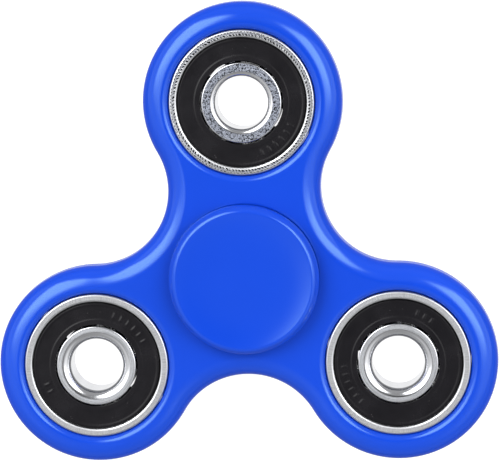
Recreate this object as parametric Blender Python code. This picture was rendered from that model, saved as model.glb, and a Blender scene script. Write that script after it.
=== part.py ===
"""A three-lobed fidget spinner, built from its separate pieces.

Metres, +Z up. The spin axis is Z and the origin is the middle of the centre bearing, so the
spinner lies flat. One lobe points along +Y. Three ball bearings sit in the lobes as weights and a
fourth, between two finger caps, carries the spin. All four are 608-size: 22 mm outside, 8 mm
bore, 7 mm wide.
"""

import math

import bmesh
import bpy

MM = 0.001

# Moulded body
LOBE_COUNT = 3
FIRST_LOBE_ANGLE = math.radians(90)
LOBE_DISTANCE = 26.56 * MM  # spin axis to the centre of each weight
LOBE_RADIUS = 15.15 * MM
WAIST_DISTANCE = 15.19 * MM  # spin axis to the edge, midway between two lobes
BODY_THICKNESS = 7.5 * MM
EDGE_ROUND = 3.0 * MM  # on the outline, above and below
SEAT_GAP = 0.1 * MM  # between a bearing and the hole it is pressed into
SEAT_ROUND = 1.0 * MM  # at both mouths of each lobe's hole
CENTRE_SEAT_ROUND = 0.45 * MM  # at both mouths of the middle hole, just past the caps' edges

# 608-size ball bearing
BEARING_WIDTH = 7.0 * MM
OUTER_RADIUS = 11.0 * MM
OUTER_SHOULDER = 8.9 * MM  # inside of the outer ring, beside its groove
BORE_RADIUS = 4.0 * MM
INNER_SHOULDER = 6.05 * MM  # outside of the inner ring, beside its groove
BALL_COUNT = 7
BALL_RADIUS = 1.9845 * MM
PITCH_RADIUS = 7.5 * MM  # spin axis of the bearing to the middle of each ball
GROOVE_PLAY = 0.13 * MM  # between a ball and the bottom of a groove
GROOVE_FLAT = 0.62 * MM  # half width of the bottom of a groove
GROOVE_HALF_WIDTH = 1.6 * MM
RING_CHAMFER = 0.3 * MM
BORE_ROUND = 0.75 * MM
WIDE_BORE_ROUND = 1.25 * MM
WIDE_BORE_WEIGHTS = (2, 3)

# Seal, pressed into a recess at each end of the outer ring
RECESS_RADIUS = 9.98 * MM
RECESS_DEPTH = 0.95 * MM
RECESS_CHAMFER = 0.2 * MM
SEAL_OUTER = 9.88 * MM
SEAL_INNER = 6.3 * MM
SEAL_FACE = 3.2 * MM  # height of the flat web above the bearing's middle
SEAL_BEAD = 0.12 * MM  # how far the rim and the lip stand above the web
SEAL_UNDERSIDE = 2.65 * MM
SEAL_FLANGE = 2.85 * MM  # height of the thin flange outside the rim
SEAL_RIM_OUTER = 9.52 * MM
SEAL_RIM_INNER = 9.2 * MM
SEAL_LIP_OUTER = 7.0 * MM

# Ribbon cage, in two halves that hold the balls between them
CAGE_THICKNESS = 0.35 * MM
CAGE_INNER = 6.45 * MM
CAGE_OUTER = 8.45 * MM
CAGE_HALF_GAP = 0.05 * MM  # from the middle plane to each half
POCKET_RADIUS = 2.135 * MM
POCKET_STEPS = 5

# Finger caps, the same piece above and below
CAP_RADIUS = 11.38 * MM
CAP_TOP = 6.9 * MM  # height of the rim above the middle of the spinner
CAP_UNDERSIDE = 4.05 * MM
CAP_EDGE_ROUND = 1.25 * MM  # above and below
DISH_RADIUS = 9.7 * MM
DISH_DEPTH = 0.28 * MM
SHOULDER_RADIUS = 5.6 * MM  # rests on the inner ring
SHOULDER_GAP = 0.1 * MM
POST_RADIUS = 3.9 * MM
POST_BORE_RADIUS = 2.4 * MM
POST_BORE_TOP = 3.0 * MM
POST_END = 0.2 * MM
POST_CHAMFER = 0.4 * MM

# Facets
TURNED_SEGMENTS = 28
LOBE_SEGMENTS = 24
WAIST_SEGMENTS = 12
ROUND_STEPS = 3
BORE_STEPS = 2
DISH_STEPS = 3
CUTTER_OVERRUN = 1.0 * MM
CUTTER_LIFT = 0.02 * MM  # takes the end of the cutter's round just past the body's face
MERGE_DISTANCE = 0.0001 * MM
SHARP_ANGLE = math.radians(35)


# ---------------------------------------------------------------- helpers


def material(name, colour, roughness, metallic=0.0):
    """A Principled BSDF material with one colour, which is linear RGB."""
    made = bpy.data.materials.new(name)
    made.use_nodes = True
    made.diffuse_color = (*colour, 1.0)
    shader = made.node_tree.nodes["Principled BSDF"]
    shader.inputs["Base Color"].default_value = (*colour, 1.0)
    shader.inputs["Roughness"].default_value = roughness
    shader.inputs["Metallic"].default_value = metallic
    return made


def mesh_from(bm, name, surface):
    """Closes the bmesh into a smooth-shaded mesh with outward faces and one material."""
    bmesh.ops.recalc_face_normals(bm, faces=bm.faces)
    mesh = bpy.data.meshes.new(name)
    bm.to_mesh(mesh)
    bm.free()
    mesh.shade_smooth()
    mesh.set_sharp_from_angle(angle=SHARP_ANGLE)
    mesh.materials.append(surface)
    return mesh


def turned_mesh(name, profile, surface):
    """A body of revolution about Z, from (radius, height) points.

    A profile that starts on the axis ends on it too. Any other profile is a closed loop.
    """
    bm = bmesh.new()
    points = [bm.verts.new((radius, 0.0, height)) for radius, height in profile]
    lines = [bm.edges.new(pair) for pair in zip(points, points[1:])]
    if profile[0][0] > 0:
        lines.append(bm.edges.new((points[-1], points[0])))
    bmesh.ops.spin(
        bm,
        geom=points + lines,
        cent=(0.0, 0.0, 0.0),
        axis=(0.0, 0.0, 1.0),
        angle=2 * math.pi,
        steps=TURNED_SEGMENTS,
        use_merge=True,
    )
    bmesh.ops.remove_doubles(bm, verts=bm.verts, dist=MERGE_DISTANCE)
    return mesh_from(bm, name, surface)


def stacked_loops(bm, loops, closed=False):
    """Joins each loop of points to the next with quads, and the last to the first if closed."""
    rings = [[bm.verts.new(point) for point in loop] for loop in loops]
    following = rings[1:] + (rings[:1] if closed else [])
    for ring, upper in zip(rings, following):
        for i in range(len(ring)):
            bm.faces.new((ring[i - 1], ring[i], upper[i], upper[i - 1]))
    return rings


def place(name, mesh, parent=None, location=(0.0, 0.0, 0.0), turn_over=False):
    """An object of this mesh under its parent, turned over about X if asked."""
    piece = bpy.data.objects.new(name, mesh)
    bpy.context.scene.collection.objects.link(piece)
    piece.parent = parent
    piece.location = location
    if turn_over:
        piece.rotation_euler = (math.pi, 0.0, 0.0)
    return piece


def axis_empty(name, parent=None, location=(0.0, 0.0, 0.0)):
    """An empty on a turning axis, which the pieces that turn together are parented to."""
    empty = place(name, None, parent, location)
    empty.empty_display_size = BORE_RADIUS
    return empty


def polar(radius, angle):
    return radius * math.cos(angle), radius * math.sin(angle)


def mirrored(profile):
    """The (radius, height) points followed by their mirror images, in reverse order."""
    return profile + [(radius, -height) for radius, height in reversed(profile)]


def quarter_round(centre_radius, centre_height, size, start, end, steps=ROUND_STEPS):
    """Points of an arc in a profile, from one angle to another in degrees."""
    angles = [math.radians(start + (end - start) * i / steps) for i in range(steps + 1)]
    return [
        (centre_radius + size * math.cos(a), centre_height + size * math.sin(a))
        for a in angles
    ]


# ---------------------------------------------------------------- moulded body


def lobe_centre(index):
    return polar(LOBE_DISTANCE, FIRST_LOBE_ANGLE + index * 2 * math.pi / LOBE_COUNT)


def waist_circle():
    """Distance from the spin axis and radius of the arc between two lobes, tangent to both."""
    step = LOBE_RADIUS - WAIST_DISTANCE
    distance = (LOBE_DISTANCE**2 - step**2) / (LOBE_DISTANCE + 2 * step)
    return distance, distance - WAIST_DISTANCE


def direction(start, end):
    return math.atan2(end[1] - start[1], end[0] - start[0])


def arc(centre, radius, start, sweep, segments):
    """Points along an arc, without its last one, which the next arc begins with."""
    for i in range(segments):
        x, y = polar(radius, start + sweep * i / segments)
        yield centre[0] + x, centre[1] + y


def body_outline(inset):
    """The outline of three lobes and three waists, counter-clockwise, moved in by inset."""
    waist_distance, waist_radius = waist_circle()
    half_pitch = math.pi / LOBE_COUNT
    points = []
    for index in range(LOBE_COUNT):
        angle = FIRST_LOBE_ANGLE + 2 * index * half_pitch
        lobe = lobe_centre(index)
        before = polar(waist_distance, angle - half_pitch)
        after = polar(waist_distance, angle + half_pitch)
        next_lobe = lobe_centre(index + 1)
        lobe_start = direction(lobe, before)
        lobe_sweep = (direction(lobe, after) - lobe_start) % (2 * math.pi)
        waist_start = direction(after, lobe)
        waist_sweep = -((waist_start - direction(after, next_lobe)) % (2 * math.pi))
        points += arc(
            lobe, LOBE_RADIUS - inset, lobe_start, lobe_sweep, LOBE_SEGMENTS
        )
        points += arc(
            after, waist_radius + inset, waist_start, waist_sweep, WAIST_SEGMENTS
        )
    return points


def body_blank(surface):
    """The body before its holes are cut: the outline with a large round above and below."""
    straight = BODY_THICKNESS / 2 - EDGE_ROUND
    upper = quarter_round(-EDGE_ROUND, straight, EDGE_ROUND, 90, 0)
    bm = bmesh.new()
    levels = [
        [(x, y, height) for x, y in body_outline(-offset)]
        for offset, height in mirrored(upper)
    ]
    rings = stacked_loops(bm, levels)
    bm.faces.new(rings[0])
    bm.faces.new(rings[-1])
    return place("body", mesh_from(bm, "body", surface))


def seat_cutter(name, location, mouth_round, surface):
    """The space that one bearing is pressed into, widening at both mouths."""
    radius = OUTER_RADIUS + SEAT_GAP
    straight = BODY_THICKNESS / 2 - mouth_round + CUTTER_LIFT
    end = BODY_THICKNESS / 2 + CUTTER_OVERRUN
    mouth = quarter_round(radius + mouth_round, straight, mouth_round, 180, 90)
    wall = [(0.0, end), (radius + mouth_round, end)] + mouth[::-1]
    cutter = place(
        name, turned_mesh(name, mirrored(wall), surface), location=location
    )
    cutter.hide_render = True
    cutter.display_type = "WIRE"
    return cutter


def cut(piece, cutter):
    boolean = piece.modifiers.new(cutter.name, "BOOLEAN")
    boolean.operation = "DIFFERENCE"
    boolean.solver = "EXACT"
    boolean.object = cutter


def make_body(surface):
    body = body_blank(surface)
    cut(body, seat_cutter("centre_seat_cutter", (0.0, 0.0, 0.0), CENTRE_SEAT_ROUND, surface))
    for index in range(LOBE_COUNT):
        name = f"weight_{index + 1}_seat_cutter"
        cut(body, seat_cutter(name, (*lobe_centre(index), 0.0), SEAT_ROUND, surface))
    return body


# ---------------------------------------------------------------- bearing pieces


def outer_ring_mesh(surface):
    """Chamfered ring with a groove for the balls inside and a recess for a seal at each end."""
    face = BEARING_WIDTH / 2
    groove_bottom = PITCH_RADIUS + BALL_RADIUS + GROOVE_PLAY
    half = [
        (groove_bottom, GROOVE_FLAT),
        (OUTER_SHOULDER, GROOVE_HALF_WIDTH),
        (OUTER_SHOULDER, face - RECESS_DEPTH),
        (RECESS_RADIUS, face - RECESS_DEPTH),
        (RECESS_RADIUS, face - RECESS_CHAMFER),
        (RECESS_RADIUS + RECESS_CHAMFER, face),
        (OUTER_RADIUS - RING_CHAMFER, face),
        (OUTER_RADIUS, face - RING_CHAMFER),
    ]
    return turned_mesh("outer_ring", mirrored(half), surface)


def inner_ring_mesh(name, bore_round, surface):
    """Ring with a rounded bore and a groove for the balls outside."""
    face = BEARING_WIDTH / 2
    groove_bottom = PITCH_RADIUS - BALL_RADIUS - GROOVE_PLAY / 2
    bore_edge = quarter_round(
        BORE_RADIUS + bore_round, face - bore_round, bore_round, 90, 180, BORE_STEPS
    )
    half = [
        (groove_bottom, GROOVE_FLAT),
        (INNER_SHOULDER, GROOVE_HALF_WIDTH),
        (INNER_SHOULDER, face - RING_CHAMFER),
        (INNER_SHOULDER - RING_CHAMFER, face),
        *bore_edge,
    ]
    return turned_mesh(name, mirrored(half), surface)


def seal_mesh(surface):
    """Rubber-faced disc: a flat web between a raised lip and a raised rim, and a thin flange."""
    top = SEAL_FACE + SEAL_BEAD
    profile = [
        (SEAL_INNER, SEAL_UNDERSIDE),
        (SEAL_OUTER, SEAL_UNDERSIDE),
        (SEAL_OUTER, SEAL_FLANGE),
        (SEAL_RIM_OUTER, SEAL_FLANGE),
        (SEAL_RIM_OUTER, top),
        (SEAL_RIM_INNER, top),
        (SEAL_RIM_INNER - SEAL_BEAD, SEAL_FACE),
        (SEAL_LIP_OUTER + SEAL_BEAD, SEAL_FACE),
        (SEAL_LIP_OUTER, top),
        (SEAL_INNER, top),
    ]
    return turned_mesh("seal", profile, surface)


def ball_mesh(surface):
    bm = bmesh.new()
    bmesh.ops.create_icosphere(bm, subdivisions=2, radius=BALL_RADIUS)
    return mesh_from(bm, "ball", surface)


def cage_section(along, lower, upper):
    """Four corners of the ribbon, where each (arc length, height) pair is one of its faces."""
    for radius, (length, height) in (
        (CAGE_INNER, lower),
        (CAGE_OUTER, lower),
        (CAGE_OUTER, upper),
        (CAGE_INNER, upper),
    ):
        yield (*polar(radius, along + length / PITCH_RADIUS), height)


def cage_mesh(surface):
    """Upper half of the cage: a flat ribbon that arches over each ball."""
    foot = CAGE_HALF_GAP + CAGE_THICKNESS
    outside = POCKET_RADIUS + CAGE_THICKNESS
    sections = []
    for ball in range(BALL_COUNT):
        for step in range(POCKET_STEPS + 1):
            angle = math.pi * (1 - step / POCKET_STEPS)
            reach, rise = math.cos(angle), math.sin(angle)
            lower = (POCKET_RADIUS * reach, max(POCKET_RADIUS * rise, CAGE_HALF_GAP))
            upper = (outside * reach, max(outside * rise, foot))
            sections.append(list(cage_section(ball_angle(ball), lower, upper)))
    bm = bmesh.new()
    stacked_loops(bm, sections, closed=True)
    return mesh_from(bm, "cage_half", surface)


def ball_angle(index):
    return index * 2 * math.pi / BALL_COUNT


def place_cage(prefix, meshes, parent, location):
    """Both cage halves and the balls, on an axis of their own."""
    axis = axis_empty(f"{prefix}_cage_axis", parent, location)
    place(f"{prefix}_cage_upper", meshes["cage_half"], axis)
    place(f"{prefix}_cage_lower", meshes["cage_half"], axis, turn_over=True)
    for index in range(BALL_COUNT):
        at = (*polar(PITCH_RADIUS, ball_angle(index)), 0.0)
        place(f"{prefix}_ball_{index + 1}", meshes["ball"], axis, at)


def place_weight(number, meshes, spinner_axis):
    """One sealed bearing in its lobe. Its inner ring and its cage turn on the lobe's axis."""
    prefix = f"weight_{number}"
    at = (*lobe_centre(number - 1), 0.0)
    place(f"{prefix}_outer_ring", meshes["outer_ring"], spinner_axis, at)
    place(f"{prefix}_upper_seal", meshes["seal"], spinner_axis, at)
    place(f"{prefix}_lower_seal", meshes["seal"], spinner_axis, at, turn_over=True)
    ring_axis = axis_empty(f"{prefix}_axis", spinner_axis, at)
    ring = "wide_inner_ring" if number in WIDE_BORE_WEIGHTS else "inner_ring"
    place(f"{prefix}_inner_ring", meshes[ring], ring_axis)
    place_cage(prefix, meshes, spinner_axis, at)


# ---------------------------------------------------------------- finger caps


def dish_profile():
    """The finger dish from its edge to the middle, as a curve that is level at the middle."""
    for step in range(DISH_STEPS + 1):
        share = 1 - step / DISH_STEPS
        yield DISH_RADIUS * share, CAP_TOP - DISH_DEPTH * (1 - share**2)


def cap_mesh(surface):
    """Round cap with a finger dish, a shoulder for the inner ring and a hollow post."""
    shoulder = BEARING_WIDTH / 2 + SHOULDER_GAP
    inset = CAP_RADIUS - CAP_EDGE_ROUND
    lower_edge = quarter_round(inset, CAP_UNDERSIDE + CAP_EDGE_ROUND, CAP_EDGE_ROUND, -90, 0)
    upper_edge = quarter_round(inset, CAP_TOP - CAP_EDGE_ROUND, CAP_EDGE_ROUND, 0, 90)
    profile = [
        (0.0, POST_BORE_TOP),
        (POST_BORE_RADIUS, POST_BORE_TOP),
        (POST_BORE_RADIUS, POST_END),
        (POST_RADIUS - POST_CHAMFER, POST_END),
        (POST_RADIUS, POST_END + POST_CHAMFER),
        (POST_RADIUS, shoulder),
        (SHOULDER_RADIUS, shoulder),
        (SHOULDER_RADIUS, CAP_UNDERSIDE),
        *lower_edge,
        *upper_edge,
        *dish_profile(),
    ]
    return turned_mesh("cap", profile, surface)


# ---------------------------------------------------------------- the whole object


def main():
    for thing in list(bpy.data.objects):
        bpy.data.objects.remove(thing)

    body_blue = material("body_blue", (0.012, 0.095, 0.80), roughness=0.16)
    cap_blue = material("cap_blue", (0.010, 0.085, 0.74), roughness=0.22)
    ring_steel = material("ring_steel", (0.66, 0.67, 0.70), 0.22, metallic=1.0)
    ball_steel = material("ball_steel", (0.75, 0.76, 0.78), 0.06, metallic=1.0)
    cage_steel = material("cage_steel", (0.52, 0.52, 0.53), 0.34, metallic=1.0)
    seal_rubber = material("seal_rubber", (0.018, 0.017, 0.020), roughness=0.42)

    meshes = {
        "outer_ring": outer_ring_mesh(ring_steel),
        "inner_ring": inner_ring_mesh("inner_ring", BORE_ROUND, ring_steel),
        "wide_inner_ring": inner_ring_mesh("wide_inner_ring", WIDE_BORE_ROUND, ring_steel),
        "ball": ball_mesh(ball_steel),
        "cage_half": cage_mesh(cage_steel),
        "seal": seal_mesh(seal_rubber),
        "cap": cap_mesh(cap_blue),
    }

    place("top_cap", meshes["cap"])
    place("bottom_cap", meshes["cap"], turn_over=True)
    place("centre_inner_ring", meshes["inner_ring"])

    spinner_axis = axis_empty("spinner_axis")
    make_body(body_blue).parent = spinner_axis
    place("centre_outer_ring", meshes["outer_ring"], spinner_axis)
    place_cage("centre", meshes, None, (0.0, 0.0, 0.0))
    for number in range(1, LOBE_COUNT + 1):
        place_weight(number, meshes, spinner_axis)


main()
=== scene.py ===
"""The looks of the fidget spinner: fine meshes, procedural materials, studio light and camera.

Metres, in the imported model's frame: the spin axis is Z, the middle plane is z = 0, and one lobe
points along +Y. Every piece is made round its own origin, so that its material can use the
distance and the angle from its own axis.
"""

import math

import bmesh
import bpy
from mathutils import Matrix, Vector


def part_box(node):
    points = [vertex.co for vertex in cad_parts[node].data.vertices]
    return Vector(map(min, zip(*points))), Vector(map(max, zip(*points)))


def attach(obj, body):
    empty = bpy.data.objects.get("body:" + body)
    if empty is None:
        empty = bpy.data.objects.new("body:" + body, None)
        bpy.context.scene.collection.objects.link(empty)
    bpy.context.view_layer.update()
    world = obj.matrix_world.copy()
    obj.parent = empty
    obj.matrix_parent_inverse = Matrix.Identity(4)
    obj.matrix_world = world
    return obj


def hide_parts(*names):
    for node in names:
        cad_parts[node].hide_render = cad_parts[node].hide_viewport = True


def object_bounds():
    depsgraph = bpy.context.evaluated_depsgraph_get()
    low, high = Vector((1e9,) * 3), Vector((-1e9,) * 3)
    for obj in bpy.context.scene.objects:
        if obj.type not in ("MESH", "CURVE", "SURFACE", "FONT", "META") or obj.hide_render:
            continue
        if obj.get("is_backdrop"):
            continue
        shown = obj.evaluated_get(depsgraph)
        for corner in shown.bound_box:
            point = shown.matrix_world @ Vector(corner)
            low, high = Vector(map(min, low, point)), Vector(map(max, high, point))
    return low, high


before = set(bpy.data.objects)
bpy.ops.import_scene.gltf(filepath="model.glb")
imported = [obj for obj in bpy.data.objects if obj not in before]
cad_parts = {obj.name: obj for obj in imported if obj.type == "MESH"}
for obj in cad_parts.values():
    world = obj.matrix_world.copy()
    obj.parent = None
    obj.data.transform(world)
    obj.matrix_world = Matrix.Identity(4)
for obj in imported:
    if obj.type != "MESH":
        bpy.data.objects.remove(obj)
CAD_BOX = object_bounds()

MM = 0.001

# Moulded body
LOBE_COUNT = 3
LOBE_RADIUS = 15.15 * MM
WAIST_DISTANCE = 15.19 * MM
EDGE_ROUND = 3.0 * MM
SEAT_GAP = 0.05 * MM
SEAT_ROUND = 1.0 * MM
CENTRE_SEAT_ROUND = 0.45 * MM
PARTING_WIDTH = 0.10 * MM
PARTING_HEIGHT = 0.03 * MM

# Bearings
OUTER_SHOULDER = 8.9 * MM
INNER_SHOULDER = 6.05 * MM
BORE_RADIUS = 4.0 * MM
BALL_COUNT = 7
PITCH_RADIUS = 7.5 * MM
GROOVE_RADIUS = 2.05 * MM
BALL_PLAY = 0.02 * MM
RING_EDGE = 0.28 * MM
INNER_EDGE = 0.16 * MM
BORE_ROUND = 0.75 * MM
WIDE_BORE_ROUND = 1.25 * MM
RECESS_RADIUS = 9.9 * MM
RECESS_DEPTH = 0.95 * MM
RECESS_EDGE = 0.2 * MM
RECESS_EDGE_DROP = 0.09 * MM
FACE_GROOVE_RADIUS = 10.5 * MM
FACE_GROOVE_WIDTH = 0.22 * MM
FACE_GROOVE_DEPTH = 0.10 * MM

# Seals, as radii and as heights above the middle of the bearing
SEAL_OUTER = 9.86 * MM
SEAL_INNER = 6.3 * MM
SEAL_UNDERSIDE = 2.65 * MM
SEAL_FLANGE = 2.72 * MM
SEAL_WEB = 3.22 * MM
SEAL_RIM = 3.26 * MM
SEAL_LIP = 3.27 * MM
RIM_OUTER = 9.6 * MM
RIM_INNER = 9.3 * MM
LIP_OUTER = 7.05 * MM
SEAL_SLOPE = 0.14 * MM  # width of the slopes from the web up to the rim and the lip
SEAL_EDGE = 0.07 * MM
MARK_RADIUS = 8.15 * MM
MARK_LENGTH = 1.1 * MM
MARK_WIDTH = 0.36 * MM
MARK_HEIGHT = 0.06 * MM
MARK_PITCH = math.radians(8.5)
SEAL_MARKS = {  # each group's middle in degrees, and how many ribs it has
    "weight_1": [(-47.0, 6)],
    "weight_2": [(48.0, 6), (205.0, 2)],
    "weight_3": [(205.0, 6), (60.0, 3)],
}

# Cages
CAGE_INNER = 6.45 * MM
CAGE_OUTER = 8.45 * MM
CAGE_THICKNESS = 0.35 * MM
CAGE_HALF_GAP = 0.05 * MM
POCKET_RADIUS = 2.135 * MM

# Finger caps
CAP_UNDERSIDE = 4.05 * MM
CAP_FOOT_ROUND = 0.35 * MM
CAP_TAPER = 0.22 * MM  # how much narrower the side is at the foot than at the shoulder
CREST_ROUND = 0.75 * MM
SHOULDER_ROUND = 1.4 * MM
BEVEL_ANGLE = 40.0  # of the bevel's normal above the horizontal, in degrees
DISH_RADIUS = 10.27 * MM
DISH_DEPTH = 0.28 * MM
DISH_POWER = 4.5
COLLAR_RADIUS = 5.6 * MM
COLLAR_HEIGHT = 3.6 * MM
POST_RADIUS = 3.9 * MM
POST_BORE_RADIUS = 2.4 * MM
POST_BORE_TOP = 3.0 * MM
POST_END = 0.2 * MM
POST_CHAMFER = 0.4 * MM

# Colours
BLUE = (0.0042, 0.0495, 0.53)
GLOSS_TINT = (0.58, 1.0, 1.0)
BLACK = (0.0056, 0.0051, 0.0068)
DUST = (0.16, 0.15, 0.15)

# Gloss
BODY_ROUGHNESS = 0.07
CAP_ROUGHNESS = 0.09
SEAL_ROUGHNESS = 0.24
PLASTIC_RIPPLE = 0.004 * MM
SEAL_RIPPLE = 0.006 * MM

# Steel, each as its colour, its roughness, the depth of its grain, and how far the grain
# changes its tone
BALL_STEEL = ((0.75, 0.76, 0.78), 0.06, 0.0005 * MM, 0.03)
CAGE_STEEL = ((0.50, 0.50, 0.51), 0.30, 0.004 * MM, 0.15)
POLISHED_STEEL = ((0.74, 0.75, 0.78), 0.10, 0.002 * MM, 0.08)
EDGE_STEEL = ((0.55, 0.56, 0.58), 0.34, 0.002 * MM, 0.10)
FROSTED_STEEL = ((0.285, 0.305, 0.36), 0.34, 0.02 * MM, 1.0)
HATCHED_STEEL = ((0.54, 0.55, 0.57), 0.32, 0.03 * MM, 1.0)
BRUSHED_STEEL = ((0.42, 0.425, 0.44), 0.55, 0.006 * MM, 0.14)
LAPPED_STEEL = ((0.56, 0.575, 0.605), 0.40, 0.006 * MM, 0.40)

STROKE_COUNT = 132  # strokes round a coarse outer ring's face
STROKE_SLANT = -8000.0  # how far they lean, in radians of a stroke's period per metre

# Textures, in features per metre
PLASTIC_CLOUD = 55.0
PLASTIC_FLOW = 330.0
PLASTIC_GRAIN = 5200.0
STEEL_CLOUD = 1200.0
STEEL_BLASTING = 5000.0
STEEL_SPECKS = 9000.0
RUBBER_CLOUD = 260.0
RUBBER_GRAIN = 6500.0
DUST_PATCHES = 700.0
DUST_SPECKS = 1500.0

# Facets
TURNED_SEGMENTS = 168
SEAL_SEGMENTS = 420
LOBE_SEGMENTS = 72
WAIST_SEGMENTS = 36
ROUND_STEPS = 12
BODY_ROUND_STEPS = 18
GROOVE_STEPS = 10
RING_EDGE_STEPS = 6
INNER_EDGE_STEPS = 5
BORE_STEPS = 14
SEAL_EDGE_STEPS = 4
WEB_STEPS = 18
POCKET_STEPS = 16
DISH_STEPS = 28
BALL_SUBDIVISIONS = 4
SHARP_ANGLE = math.radians(40)
SUPPORT = 0.03 * MM  # width of the strip that keeps a flat face flat beside a round
TINY = 0.001 * MM

# Studio. Light comes from soft-edged patches of the surround, seen on a level plane one metre
# up. A patch is its radiance and its edges, each the direction in degrees in which the patch
# lies, how far that way its light begins, and how far that way it is full.
LEFT_SOFTBOX = (4.7, ((180, 0.10, 0.30), (82, -0.32, 0.25), (0, -1.75, -0.95), (229, -0.70, -0.33)))
RIGHT_SOFTBOX = (4.1, ((0, 0.15, 0.42), (90, -0.30, 0.25), (180, -1.70, -0.95), (302, -0.55, -0.20)))
LEFT_GLOW = (0.45, ((180, 0.05, 0.70), (90, -1.70, -0.10), (229, -1.20, -0.50)))
RIGHT_GLOW = (0.82, ((0, 0.05, 0.80), (90, -1.70, -0.20), (302, -0.90, -0.30)))
SKY = (  # heights of a ray's direction, and the surround's radiance there
    (-0.95, 1.0), (-0.80, 0.30), (-0.15, 0.20), (0.05, 0.42), (0.35, 0.42),
    (0.60, 0.36), (0.95, 0.36), (0.99, 0.20), (1.0, 0.06),
)
HORIZON = 0.01  # height of the flattest ray that a patch lights
FLOOR_GLOW = 0.95
FLOOR_ALBEDO = 0.30
FLOOR_GAP = 0.05 * MM
FLOOR_PROFILE = ((1.0, 0.0), (3.6, 0.0), (4.0, 0.4))  # radii and heights, turned up at the edge

# Camera
CAMERA_PLACE = (0.0316, 0.0591, 0.4244)
CAMERA_TILT = (0.1236, -0.0702, 0.0206)  # radians about X, Y and Z, from straight down
CAMERA_LENS = 202.75
SENSOR_WIDTH = 36.0


# ---------------------------------------------------------------- frame


def centre(node):
    low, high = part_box(node)
    return (low + high) / 2


def half_size(node):
    low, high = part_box(node)
    return (high - low) / 2


BODY_HALF = half_size("body").z
RING_HALF = half_size("centre_outer_ring").z
OUTER_RADIUS = half_size("centre_outer_ring").x
BALL_RADIUS = half_size("centre_ball_1").y
CAP_RADIUS = half_size("top_cap").x
CAP_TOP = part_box("top_cap")[1].z
LOBES = [centre(f"weight_{n}_outer_ring") for n in range(1, LOBE_COUNT + 1)]
LOBE_DISTANCE = LOBES[0].length


# ---------------------------------------------------------------- mesh helpers


def polar(radius, angle):
    return radius * math.cos(angle), radius * math.sin(angle)


def arc(centre_r, centre_z, size, start, end, steps):
    """Points of an arc in a profile, from one angle to another in degrees."""
    angles = [math.radians(start + (end - start) * i / steps) for i in range(steps + 1)]
    return [(centre_r + size * math.cos(a), centre_z + size * math.sin(a)) for a in angles]


def mirrored(profile):
    return profile + [(r, -z) for r, z in reversed(profile)]


def supported(profile, closed):
    """The profile with a point close to each end of its long straight stretches."""
    pairs = list(zip(profile, profile[1:] + profile[:1]))
    if not closed:
        pairs = pairs[:-1]
    points = []
    for start, end in pairs:
        points.append(start)
        a, b = Vector(start), Vector(end)
        length = (b - a).length
        if length > 8 * SUPPORT:
            step = (b - a) * (SUPPORT / length)
            points += [tuple(a + step), tuple(b - step)]
    if not closed:
        points.append(profile[-1])
    return points


def new_object(name, bm, materials):
    bmesh.ops.recalc_face_normals(bm, faces=bm.faces)
    mesh = bpy.data.meshes.new(name)
    bm.to_mesh(mesh)
    bm.free()
    mesh.shade_smooth()
    mesh.set_sharp_from_angle(angle=SHARP_ANGLE)
    for surface in materials:
        mesh.materials.append(surface)
    piece = bpy.data.objects.new(name, mesh)
    bpy.context.scene.collection.objects.link(piece)
    return piece


def stack(bm, loops, closed=False):
    """Joins each loop of points to the next with quads, and the last to the first if closed."""
    rings = [[bm.verts.new(point) for point in loop] for loop in loops]
    following = rings[1:] + (rings[:1] if closed else [])
    for ring, upper in zip(rings, following):
        for i in range(len(ring)):
            bm.faces.new((ring[i - 1], ring[i], upper[i], upper[i - 1]))
    return rings


def circle(radius, height, middle=(0.0, 0.0), segments=TURNED_SEGMENTS):
    for i in range(segments):
        x, y = polar(radius, 2 * math.pi * i / segments)
        yield middle[0] + x, middle[1] + y, height


def turned(name, profile, materials, relief=None, choose=None, segments=TURNED_SEGMENTS):
    """A body of revolution about Z. A profile that starts on the axis is capped at both ends.

    relief(radius, angle, height) lifts a point, and choose(radius, height) picks a face's
    material.
    """
    solid = profile[0][0] <= 0
    points = supported(profile, closed=not solid)
    if solid:
        first, last = points[0][1], points[-1][1]
        points = points[1:-1]
    bm = bmesh.new()
    loops = [list(circle(r, z, segments=segments)) for r, z in points]
    rings = stack(bm, loops, closed=not solid)
    if solid:
        for ring, height in ((rings[0], first), (rings[-1], last)):
            tip = bm.verts.new((0.0, 0.0, height))
            for i in range(len(ring)):
                bm.faces.new((ring[i - 1], ring[i], tip))
    if relief:
        for vertex in bm.verts:
            x, y, z = vertex.co
            vertex.co.z += relief(math.hypot(x, y), math.atan2(y, x), z)
    if choose:
        for face in bm.faces:
            middle = face.calc_center_median()
            face.material_index = choose(middle.xy.length, abs(middle.z))
    return new_object(name, bm, materials)


def finish_piece(piece, body, node):
    """Hands the piece over to the frame in place of its CAD node."""
    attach(piece, body)
    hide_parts(node)


def copy_of(piece, name, place, turn_over=False):
    copy = bpy.data.objects.new(name, piece.data)
    bpy.context.scene.collection.objects.link(copy)
    copy.location = place
    if turn_over:
        copy.rotation_euler = (math.pi, 0.0, 0.0)
    return copy


# ---------------------------------------------------------------- material helpers


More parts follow.
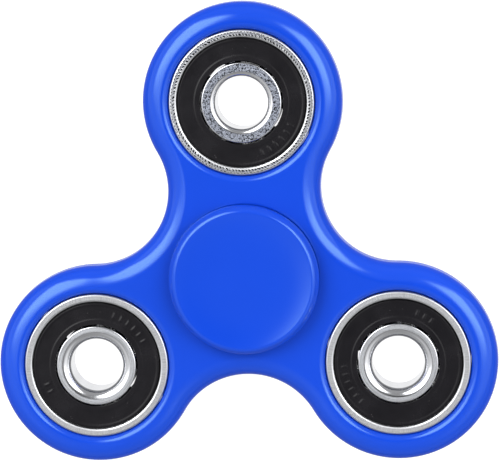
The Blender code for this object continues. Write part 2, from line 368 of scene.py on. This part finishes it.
class Graph:
    """A node tree, built one node at a time."""

    def __init__(self, tree):
        self.tree = tree
        self.shader = tree.nodes.get("Principled BSDF")

    def add(self, kind, settings=None, **inputs):
        """A node whose inputs are constants or other nodes' sockets, by index (i0) or name."""
        node = self.tree.nodes.new(kind)
        for key, value in (settings or {}).items():
            setattr(node, key, value)
        for key, value in inputs.items():
            is_index = key[0] == "i" and key[1:].isdigit()
            socket = node.inputs[int(key[1:]) if is_index else key.replace("_", " ")]
            self.put(socket, value)
        return node.outputs

    def put(self, socket, value):
        if isinstance(value, bpy.types.NodeSocket):
            self.tree.links.new(value, socket)
        else:
            socket.default_value = value

    def set(self, **inputs):
        for key, value in inputs.items():
            self.put(self.shader.inputs[key.replace("_", " ")], value)

    def math(self, operation, a, b=0.0, c=0.0, clamp=False):
        settings = {"operation": operation, "use_clamp": clamp}
        return self.add("ShaderNodeMath", settings, i0=a, i1=b, i2=c)[0]

    def place(self):
        return self.add("ShaderNodeTexCoord")["Object"]

    def scaled(self, vector, factors):
        settings = {"operation": "MULTIPLY"}
        return self.add("ShaderNodeVectorMath", settings, i0=vector, i1=factors)[0]

    def noise(self, vector, scale, detail=2.0, roughness=0.5):
        """Noise from 0 to 1, whose features are about 1 / scale metres across."""
        inputs = {"Vector": vector, "Scale": scale, "Detail": detail, "Roughness": roughness}
        return self.add("ShaderNodeTexNoise", **inputs)[0]

    def remap(self, value, low, high, start=0.0, end=1.0, smooth=False):
        """value, with its range from start to end spread over low to high."""
        settings = {"interpolation_type": "SMOOTHSTEP" if smooth else "LINEAR"}
        return self.add("ShaderNodeMapRange", settings, i0=value, i1=start, i2=end, i3=low, i4=high)[0]

    def blend(self, share, first, second):
        """One colour mixed into another."""
        node = self.tree.nodes.new("ShaderNodeMix")
        node.data_type = "RGBA"
        self.put(node.inputs[0], share)
        for socket, colour in ((node.inputs[6], first), (node.inputs[7], second)):
            self.put(socket, (*colour, 1.0) if isinstance(colour, tuple) else colour)
        return node.outputs[2]

    def bump(self, height, distance):
        return self.add("ShaderNodeBump", Height=height, Distance=distance)["Normal"]

    def polar(self):
        """(point on the unit circle, distance from the axis) of the shaded point."""
        place = self.place()
        flat = self.scaled(place, (1.0, 1.0, 0.0))
        radius = self.add("ShaderNodeVectorMath", {"operation": "LENGTH"}, i0=flat)["Value"]
        unit = self.add("ShaderNodeVectorMath", {"operation": "NORMALIZE"}, i0=flat)[0]
        return unit, radius

    def polar_noise(self, around, along, seed, detail=3.0):
        """Noise in polar form: around features per radian, along of them per metre of radius."""
        unit, radius = self.polar()
        split = self.add("ShaderNodeSeparateXYZ", None, i0=self.scaled(unit, (around, around, 0.0)))
        far = self.math("MULTIPLY_ADD", radius, along, seed)
        joined = self.add("ShaderNodeCombineXYZ", None, i0=split[0], i1=split[1], i2=far)[0]
        return self.noise(joined, 1.0, detail=detail, roughness=0.6)


# ---------------------------------------------------------------- materials


def new_material(name):
    """A material and the graph of its nodes."""
    material = bpy.data.materials.new(name)
    material.use_nodes = True
    return material, Graph(material.node_tree)


def gloss_plastic(name, colour, roughness):
    """Moulded ABS: even colour, a faint flow ripple, and a gloss that varies a little."""
    material, g = new_material(name)
    place = g.place()
    cloud = g.noise(place, PLASTIC_CLOUD, detail=2.0)
    grain = g.noise(place, PLASTIC_GRAIN, detail=1.0)
    flow = g.noise(place, PLASTIC_FLOW, detail=2.0, roughness=0.45)
    light = tuple(min(1.0, c * 1.06 + 0.002) for c in colour)
    dark = tuple(c * 0.94 for c in colour)
    g.set(
        Base_Color=g.blend(cloud, dark, light),
        Roughness=g.remap(g.math("ADD", flow, grain), roughness * 0.8, roughness * 1.25, 0.6, 1.4),
        IOR=1.60,
        Specular_Tint=(*GLOSS_TINT, 1.0),
    )
    g.set(Normal=g.bump(g.math("MULTIPLY_ADD", grain, 0.10, flow), PLASTIC_RIPPLE))
    return material


def crossed_strokes(g):
    """Crisp, uneven, slanted strokes over the fine circles that the lathe left."""
    place = g.add("ShaderNodeSeparateXYZ", None, i0=g.place())
    turn = g.math("MULTIPLY", g.math("ARCTAN2", place[1], place[0]), STROKE_COUNT)
    slant = g.math("MULTIPLY_ADD", g.polar()[1], STROKE_SLANT, turn)
    wander = g.math("MULTIPLY_ADD", g.polar_noise(14.0, 700.0, 1.0, detail=1.0), 9.0, slant)
    strokes = g.remap(g.math("SINE", wander), 0.0, 0.6, -0.5, 0.4)
    circles = g.remap(g.polar_noise(2.0, 4000.0, 3.0, detail=1.0), 0.0, 0.25, 0.40, 0.56)
    return g.math("ADD", strokes, circles)


def short_strokes(g):
    """Soft radial strokes, much shorter across than along."""
    return g.polar_noise(110.0, 300.0, 5.0)


def turned_circles(g):
    return g.polar_noise(1.0, 3200.0, 8.0, detail=2.0)


def fine_circles(g):
    return g.polar_noise(1.0, 9000.0, 2.0, detail=2.0)


def blasted(g):
    """Fine even specks without a direction."""
    return g.noise(g.place(), STEEL_BLASTING, detail=1.0, roughness=0.7)


def drawn(g):
    """The faint clouding of a smooth surface."""
    return g.noise(g.place(), STEEL_CLOUD)


def steel(name, look, grain):
    """Bare steel, whose grain (a function of the graph) changes its tone, gloss and relief."""
    colour, roughness, depth, contrast = look
    material, g = new_material(name)
    lines = grain(g)
    speck = g.noise(g.place(), STEEL_SPECKS, detail=2.0, roughness=0.7)
    both = g.remap(g.math("MULTIPLY_ADD", speck, 0.35, lines), 0.0, 1.0, 0.55, 0.80)
    dark = tuple(c * (1.0 - contrast) for c in colour)
    light = tuple(min(1.0, c * (1.0 + 0.5 * contrast)) for c in colour)
    g.set(
        Base_Color=g.blend(both, dark, light),
        Metallic=1.0,
        Roughness=g.remap(both, roughness * 1.25, roughness * 0.8),
        Normal=g.bump(both, depth),
    )
    return material


def rubber(name, colour, roughness):
    """Moulded nitrile: near black and satin, faintly clouded, with a few specks of dust."""
    material, g = new_material(name)
    place = g.place()
    cloud = g.noise(place, RUBBER_CLOUD, detail=4.0, roughness=0.6)
    grain = g.noise(place, RUBBER_GRAIN, detail=2.0, roughness=0.6)
    cells = g.add("ShaderNodeTexVoronoi", {"feature": "F1"}, Vector=place, Scale=DUST_SPECKS)
    dust = g.remap(cells["Distance"], 0.7, 0.0, 0.02, 0.10)
    rarely = g.remap(g.noise(place, DUST_PATCHES, detail=0.0), 0.0, 1.0, 0.60, 0.68)
    share = g.math("MULTIPLY", dust, rarely, clamp=True)
    base = g.blend(cloud, tuple(c * 0.6 for c in colour), tuple(c * 1.5 for c in colour))
    g.set(
        Base_Color=g.blend(share, base, DUST),
        Roughness=g.remap(cloud, roughness * 0.85, roughness * 1.2, 0.3, 0.7),
        IOR=1.50,
        Specular_IOR_Level=0.25,
    )
    g.set(Normal=g.bump(g.math("MULTIPLY_ADD", cloud, 0.5, grain), SEAL_RIPPLE))
    return material


def floor_material():
    """Pale studio floor that glows a little, so that it stays near white under the spinner."""
    material, g = new_material("studio_floor")
    tone = (FLOOR_ALBEDO, FLOOR_ALBEDO, FLOOR_ALBEDO, 1.0)
    g.set(
        Base_Color=tone,
        Roughness=0.9,
        Specular_IOR_Level=0.0,
        Emission_Color=(1.0, 1.0, 1.0, 1.0),
        Emission_Strength=FLOOR_GLOW,
    )
    return material


# ---------------------------------------------------------------- moulded body


def waist_circle():
    """Distance from the spin axis and radius of the arc between two lobes, tangent to both."""
    step = LOBE_RADIUS - WAIST_DISTANCE
    distance = (LOBE_DISTANCE**2 - step**2) / (LOBE_DISTANCE + 2 * step)
    return distance, distance - WAIST_DISTANCE


def direction(start, end):
    return math.atan2(end[1] - start[1], end[0] - start[0])


def swept(middle, radius, start, sweep, segments):
    for i in range(segments):
        x, y = polar(radius, start + sweep * i / segments)
        yield middle[0] + x, middle[1] + y


def body_outline(inset):
    """Three lobes and three waists, counter-clockwise, moved in by inset."""
    waist_distance, waist_radius = waist_circle()
    half_pitch = math.pi / LOBE_COUNT
    points = []
    for index, lobe in enumerate(LOBES):
        angle = direction((0.0, 0.0), lobe)
        before = polar(waist_distance, angle - half_pitch)
        after = polar(waist_distance, angle + half_pitch)
        next_lobe = LOBES[(index + 1) % LOBE_COUNT]
        lobe_start = direction(lobe, before)
        lobe_sweep = (direction(lobe, after) - lobe_start) % (2 * math.pi)
        waist_start = direction(after, lobe)
        waist_sweep = -((waist_start - direction(after, next_lobe)) % (2 * math.pi))
        points += swept(lobe, LOBE_RADIUS - inset, lobe_start, lobe_sweep, LOBE_SEGMENTS)
        points += swept(after, waist_radius + inset, waist_start, waist_sweep, WAIST_SEGMENTS)
    return points


def body_side():
    """(inset, height) from the top face over the edge to the middle, ending on the parting line."""
    straight = BODY_HALF - EDGE_ROUND
    rounded = arc(EDGE_ROUND, straight, EDGE_ROUND, 90, 180, BODY_ROUND_STEPS)
    parting = [(0.0, PARTING_WIDTH), (-PARTING_HEIGHT, PARTING_WIDTH / 3)]
    return [(EDGE_ROUND + SUPPORT, BODY_HALF)] + rounded + parting


def seat_side(mouth_round):
    """(radius, height) from the top face down into a bearing's hole."""
    radius = OUTER_RADIUS + SEAT_GAP
    straight = BODY_HALF - mouth_round
    mouth = arc(radius + mouth_round, straight, mouth_round, 90, 180, ROUND_STEPS)
    return [(radius + mouth_round + SUPPORT, BODY_HALF)] + mouth


def fill_with_holes(bm, outer, holes):
    """Fills the flat face between one outer ring of vertices and the rings inside it."""
    edges = []
    for ring in [outer] + holes:
        for i in range(len(ring)):
            edges.append(bm.edges.get((ring[i - 1], ring[i])))
    bmesh.ops.triangle_fill(bm, edges=edges, use_beauty=True, use_dissolve=False)


def make_body(surface):
    bm = bmesh.new()
    levels = [
        [(x, y, height) for x, y in body_outline(inset)]
        for inset, height in mirrored(body_side())
    ]
    outside = stack(bm, levels)
    holes = [((0.0, 0.0), CENTRE_SEAT_ROUND)] + [(lobe, SEAT_ROUND) for lobe in LOBES]
    seats = []
    for middle, mouth_round in holes:
        side = mirrored(seat_side(mouth_round))
        seats.append(stack(bm, [list(circle(r, z, middle=middle)) for r, z in side]))
    for end in (0, -1):
        fill_with_holes(bm, outside[end], [seat[end] for seat in seats])
    body = new_object("body_moulding", bm, [surface])
    finish_piece(body, "spinner", "body")


# ---------------------------------------------------------------- bearings


def outer_ring_profile(grooved):
    """From the bottom of the ball groove outwards over the upper face to the outside."""
    groove_centre = PITCH_RADIUS + BALL_RADIUS + BALL_PLAY - GROOVE_RADIUS
    reach = math.degrees(math.acos((OUTER_SHOULDER - groove_centre) / GROOVE_RADIUS))
    groove = arc(groove_centre, 0.0, GROOVE_RADIUS, 0, reach, GROOVE_STEPS)
    floor = RING_HALF - RECESS_DEPTH
    inner_edge = [
        (RECESS_RADIUS, RING_HALF - RECESS_EDGE_DROP),
        (RECESS_RADIUS + RECESS_EDGE, RING_HALF),
    ]
    inset = OUTER_RADIUS - RING_EDGE
    outer_edge = arc(inset, RING_HALF - RING_EDGE, RING_EDGE, 90, 0, RING_EDGE_STEPS)
    face_groove = [
        (FACE_GROOVE_RADIUS - FACE_GROOVE_WIDTH / 2, RING_HALF),
        (FACE_GROOVE_RADIUS, RING_HALF - FACE_GROOVE_DEPTH),
        (FACE_GROOVE_RADIUS + FACE_GROOVE_WIDTH / 2, RING_HALF),
    ]
    return [
        *groove,
        (OUTER_SHOULDER, floor),
        (RECESS_RADIUS, floor),
        *inner_edge,
        *(face_groove if grooved else []),
        *outer_edge,
    ]


def inner_ring_profile(bore_round):
    """From the bottom of the ball groove inwards over the upper face to the bore."""
    groove_centre = PITCH_RADIUS - BALL_RADIUS - BALL_PLAY + GROOVE_RADIUS
    reach = math.degrees(math.acos((groove_centre - INNER_SHOULDER) / GROOVE_RADIUS))
    groove = arc(groove_centre, 0.0, GROOVE_RADIUS, 180, 180 - reach, GROOVE_STEPS)
    inset = INNER_SHOULDER - INNER_EDGE
    edge = arc(inset, RING_HALF - INNER_EDGE, INNER_EDGE, 0, 90, INNER_EDGE_STEPS)
    bore = arc(BORE_RADIUS + bore_round, RING_HALF - bore_round, bore_round, 90, 180, BORE_STEPS)
    return groove + edge + bore


def face_or_edge(low, high):
    """Picks the first material for the flat end faces and the second for all else."""

    def choose(radius, height):
        on_face = low < radius < high and height > RING_HALF - TINY
        return 0 if on_face else 1

    return choose


def mark_relief(groups):
    """Short raised ribs across the web, in groups, each (angle of its middle, count)."""
    ribs = []
    for middle, count in groups:
        for i in range(count):
            ribs.append(math.radians(middle) + (i - (count - 1) / 2) * MARK_PITCH)

    def relief(radius, angle, height):
        if height < SEAL_WEB - TINY:
            return 0.0
        lift = 0.0
        for rib in ribs:
            turn = (angle - rib + math.pi) % (2 * math.pi) - math.pi
            across = abs(turn * radius) / (MARK_WIDTH / 2)
            along = abs(radius - MARK_RADIUS) / (MARK_LENGTH / 2)
            share = max(0.0, 1.0 - max(across, along) ** 3)
            lift = max(lift, share)
        return lift * MARK_HEIGHT

    return relief


def seal_profile():
    """Underside, flange, rim, slope down to the web, and slope up to the lip."""
    flange = [(SEAL_OUTER, SEAL_UNDERSIDE), (SEAL_OUTER, SEAL_FLANGE), (RIM_OUTER, SEAL_FLANGE)]
    rim_edge = arc(RIM_OUTER - SEAL_EDGE, SEAL_RIM - SEAL_EDGE, SEAL_EDGE, 0, 90, SEAL_EDGE_STEPS)
    start, end = RIM_INNER - SEAL_SLOPE, LIP_OUTER + SEAL_SLOPE
    web = [(start + (end - start) * i / WEB_STEPS, SEAL_WEB) for i in range(WEB_STEPS + 1)]
    lip_edge = arc(SEAL_INNER + SEAL_EDGE, SEAL_LIP - SEAL_EDGE, SEAL_EDGE, 90, 180, SEAL_EDGE_STEPS)
    return [
        *flange,
        *rim_edge,
        (RIM_INNER, SEAL_RIM),
        *web,
        (LIP_OUTER, SEAL_LIP),
        *lip_edge,
        (SEAL_INNER, SEAL_UNDERSIDE),
    ]


def make_ball(surface):
    bm = bmesh.new()
    bmesh.ops.create_icosphere(bm, subdivisions=BALL_SUBDIVISIONS, radius=BALL_RADIUS)
    return new_object("ball_pattern", bm, [surface])


def cage_section(along, lower, upper):
    """Four corners of the ribbon, where each (arc length, height) pair is one of its faces."""
    for radius, (length, height) in (
        (CAGE_INNER, lower),
        (CAGE_OUTER, lower),
        (CAGE_OUTER, upper),
        (CAGE_INNER, upper),
    ):
        yield (*polar(radius, along + length / PITCH_RADIUS), height)


def cage_half_mesh(surface):
    """A flat ribbon that arches over each ball."""
    foot = CAGE_HALF_GAP + CAGE_THICKNESS
    outside = POCKET_RADIUS + CAGE_THICKNESS
    sections = []
    for ball in range(BALL_COUNT):
        middle = ball * 2 * math.pi / BALL_COUNT
        for step in range(POCKET_STEPS + 1):
            angle = math.pi * (1 - step / POCKET_STEPS)
            reach, rise = math.cos(angle), math.sin(angle)
            lower = (POCKET_RADIUS * reach, max(POCKET_RADIUS * rise, CAGE_HALF_GAP))
            upper = (outside * reach, max(outside * rise, foot))
            sections.append(list(cage_section(middle, lower, upper)))
    bm = bmesh.new()
    stack(bm, sections, closed=True)
    return new_object("cage_pattern", bm, [surface])


def make_bearing(prefix, patterns, kind, inner_body):
    """The rings, cage and balls of one bearing, at its place in the frame."""
    place = centre(f"{prefix}_outer_ring")
    bore_round = kind["bore_round"]
    outer = turned(
        f"{prefix}_outer_race", mirrored(outer_ring_profile(kind["grooved"])), kind["outer"],
        choose=face_or_edge(RECESS_RADIUS + RECESS_EDGE, OUTER_RADIUS - RING_EDGE),
    )
    inner = turned(
        f"{prefix}_inner_race", mirrored(inner_ring_profile(bore_round)), kind["inner"],
        choose=face_or_edge(BORE_RADIUS + bore_round, INNER_SHOULDER - INNER_EDGE),
    )
    outer.location = place
    inner.location = place
    finish_piece(outer, "spinner", f"{prefix}_outer_ring")
    finish_piece(inner, inner_body, f"{prefix}_inner_ring")
    for side, over in (("upper", False), ("lower", True)):
        half = copy_of(patterns["cage"], f"{prefix}_cage_{side}_half", place, over)
        finish_piece(half, f"{prefix}_cage", f"{prefix}_cage_{side}")
    for number in range(1, BALL_COUNT + 1):
        node = f"{prefix}_ball_{number}"
        ball = copy_of(patterns["ball"], f"{node}_fine", centre(node))
        finish_piece(ball, node, node)


def make_bearings():
    """The open centre bearing and the three weights, of which the first has coarser faces."""
    edge = steel("ring_edge", EDGE_STEEL, fine_circles)
    polished = steel("ring_polished", POLISHED_STEEL, fine_circles)
    fine = {
        "outer": [steel("ring_brushed", BRUSHED_STEEL, short_strokes), edge],
        "inner": [steel("ring_lapped", LAPPED_STEEL, turned_circles), polished],
        "bore_round": BORE_ROUND,
        "grooved": False,
    }
    wide = {**fine, "bore_round": WIDE_BORE_ROUND}
    coarse = {
        "outer": [steel("ring_hatched", HATCHED_STEEL, crossed_strokes), edge],
        "inner": [steel("ring_frosted", FROSTED_STEEL, blasted), polished],
        "bore_round": BORE_ROUND,
        "grooved": True,
    }
    patterns = {
        "ball": make_ball(steel("ball_steel", BALL_STEEL, drawn)),
        "cage": cage_half_mesh(steel("cage_steel", CAGE_STEEL, drawn)),
    }
    make_bearing("centre", patterns, fine, "hub")
    for prefix, kind in (("weight_1", coarse), ("weight_2", wide), ("weight_3", wide)):
        make_bearing(prefix, patterns, kind, prefix)
    for pattern in patterns.values():
        bpy.data.objects.remove(pattern)


def make_seals(surface):
    for prefix, groups in SEAL_MARKS.items():
        for side, over in (("upper", False), ("lower", True)):
            seal = turned(
                f"{prefix}_{side}_seal_disc", seal_profile(), [surface],
                relief=mark_relief(groups), segments=SEAL_SEGMENTS,
            )
            seal.location = centre(f"{prefix}_outer_ring")
            if over:
                seal.rotation_euler = (math.pi, 0.0, 0.0)
            finish_piece(seal, "spinner", f"{prefix}_{side}_seal")


# ---------------------------------------------------------------- finger caps


def dish():
    """The finger dish from its rim to the middle, steepest just inside the rim."""
    for step in range(DISH_STEPS + 1):
        share = 1 - step / DISH_STEPS
        yield DISH_RADIUS * share, CAP_TOP - DISH_DEPTH * (1 - share**DISH_POWER)


def upper_edge():
    """The round shoulder, the straight bevel above it, and the crest round the dish."""
    inset = CAP_RADIUS - SHOULDER_ROUND
    bevel = math.radians(BEVEL_ANGLE)
    crest = arc(DISH_RADIUS, CAP_TOP - CREST_ROUND, CREST_ROUND, BEVEL_ANGLE, 90, ROUND_STEPS)
    reach, rise = polar(SHOULDER_ROUND, bevel)
    bevel_width = crest[0][0] - (inset + reach)
    bevel_start = crest[0][1] + bevel_width / math.tan(bevel) - rise
    shoulder = arc(inset, bevel_start, SHOULDER_ROUND, 0, BEVEL_ANGLE, ROUND_STEPS)
    return shoulder + crest


def cap_profile():
    foot = CAP_RADIUS - CAP_TAPER - CAP_FOOT_ROUND
    lower_edge = arc(foot, CAP_UNDERSIDE + CAP_FOOT_ROUND, CAP_FOOT_ROUND, -90, 0, ROUND_STEPS)
    return [
        (0.0, POST_BORE_TOP),
        (POST_BORE_RADIUS, POST_BORE_TOP),
        (POST_BORE_RADIUS, POST_END),
        (POST_RADIUS - POST_CHAMFER, POST_END),
        (POST_RADIUS, POST_END + POST_CHAMFER),
        (POST_RADIUS, COLLAR_HEIGHT),
        (COLLAR_RADIUS, COLLAR_HEIGHT),
        (COLLAR_RADIUS, CAP_UNDERSIDE),
        *lower_edge,
        *upper_edge(),
        *dish(),
    ]


def make_caps(surface):
    for name, node, over in (
        ("upper_finger_cap", "top_cap", False),
        ("lower_finger_cap", "bottom_cap", True),
    ):
        cap = turned(name, cap_profile(), [surface])
        if over:
            cap.rotation_euler = (math.pi, 0.0, 0.0)
        finish_piece(cap, "hub", node)


# ---------------------------------------------------------------- studio


def patch(g, across, along, radiance, edges):
    """What a patch of light adds in the ray's direction."""
    light = radiance
    for direction_degrees, start, full in edges:
        x, y = polar(1.0, math.radians(direction_degrees))
        way = g.math("MULTIPLY_ADD", across, x, g.math("MULTIPLY", along, y))
        share = g.remap(way, 0.0, 1.0, start, full, smooth=True)
        light = g.math("MULTIPLY", share, light)
    return light


def make_world():
    """A dim surround with two softboxes overhead, one on each side, each in its own glow."""
    world = bpy.data.worlds.new("studio")
    world.use_nodes = True
    g = Graph(world.node_tree)
    ray = g.add("ShaderNodeSeparateXYZ", None, i0=g.add("ShaderNodeTexCoord")["Generated"])
    height = g.math("MAXIMUM", ray[2], HORIZON)
    across = g.math("DIVIDE", ray[0], height)
    along = g.math("DIVIDE", ray[1], height)
    total = 0.0
    for radiance, edges in (LEFT_SOFTBOX, RIGHT_SOFTBOX, LEFT_GLOW, RIGHT_GLOW):
        total = g.math("ADD", patch(g, across, along, radiance, edges), total)
    total = g.math("MULTIPLY", total, g.math("GREATER_THAN", ray[2], HORIZON))
    for (low, start), (high, end) in zip(SKY, SKY[1:]):
        total = g.math("ADD", g.remap(ray[2], 0.0, end - start, low, high), total)
    background = world.node_tree.nodes["Background"]
    g.put(background.inputs["Color"], (1.0, 1.0, 1.0, 1.0))
    g.put(background.inputs["Strength"], g.math("ADD", total, SKY[0][1]))
    bpy.context.scene.world = world


def make_floor():
    bm = bmesh.new()
    rings = stack(bm, [list(circle(radius, height)) for radius, height in FLOOR_PROFILE])
    bm.faces.new(rings[0])
    floor = new_object("studio_floor", bm, [floor_material()])
    floor.location.z = CAD_BOX[0].z - FLOOR_GAP
    floor.visible_glossy = False
    floor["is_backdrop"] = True


def make_camera():
    data = bpy.data.cameras.new("camera")
    data.lens = CAMERA_LENS
    data.sensor_width = SENSOR_WIDTH
    camera = bpy.data.objects.new("camera", data)
    bpy.context.scene.collection.objects.link(camera)
    about_x, about_y, about_z = CAMERA_TILT
    turn = (
        Matrix.Rotation(about_x, 3, "X")
        @ Matrix.Rotation(about_y, 3, "Y")
        @ Matrix.Rotation(about_z, 3, "Z")
    )
    camera.rotation_mode = "QUATERNION"
    camera.rotation_quaternion = turn.transposed().to_quaternion()
    camera.location = CAMERA_PLACE
    bpy.context.scene.camera = camera


# ---------------------------------------------------------------- the whole scene


def main():
    make_body(gloss_plastic("body_blue", BLUE, BODY_ROUGHNESS))
    make_caps(gloss_plastic("cap_blue", BLUE, CAP_ROUGHNESS))
    make_bearings()
    make_seals(rubber("seal_rubber", BLACK, SEAL_ROUGHNESS))

    make_world()
    make_floor()
    make_camera()
    bpy.context.scene.view_settings.view_transform = "Standard"


def write_sizes():
    boxes = {"cad": CAD_BOX, "visual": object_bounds()}
    sizes = {name: [list(corner) for corner in box] for name, box in boxes.items()}


main()
write_sizes()
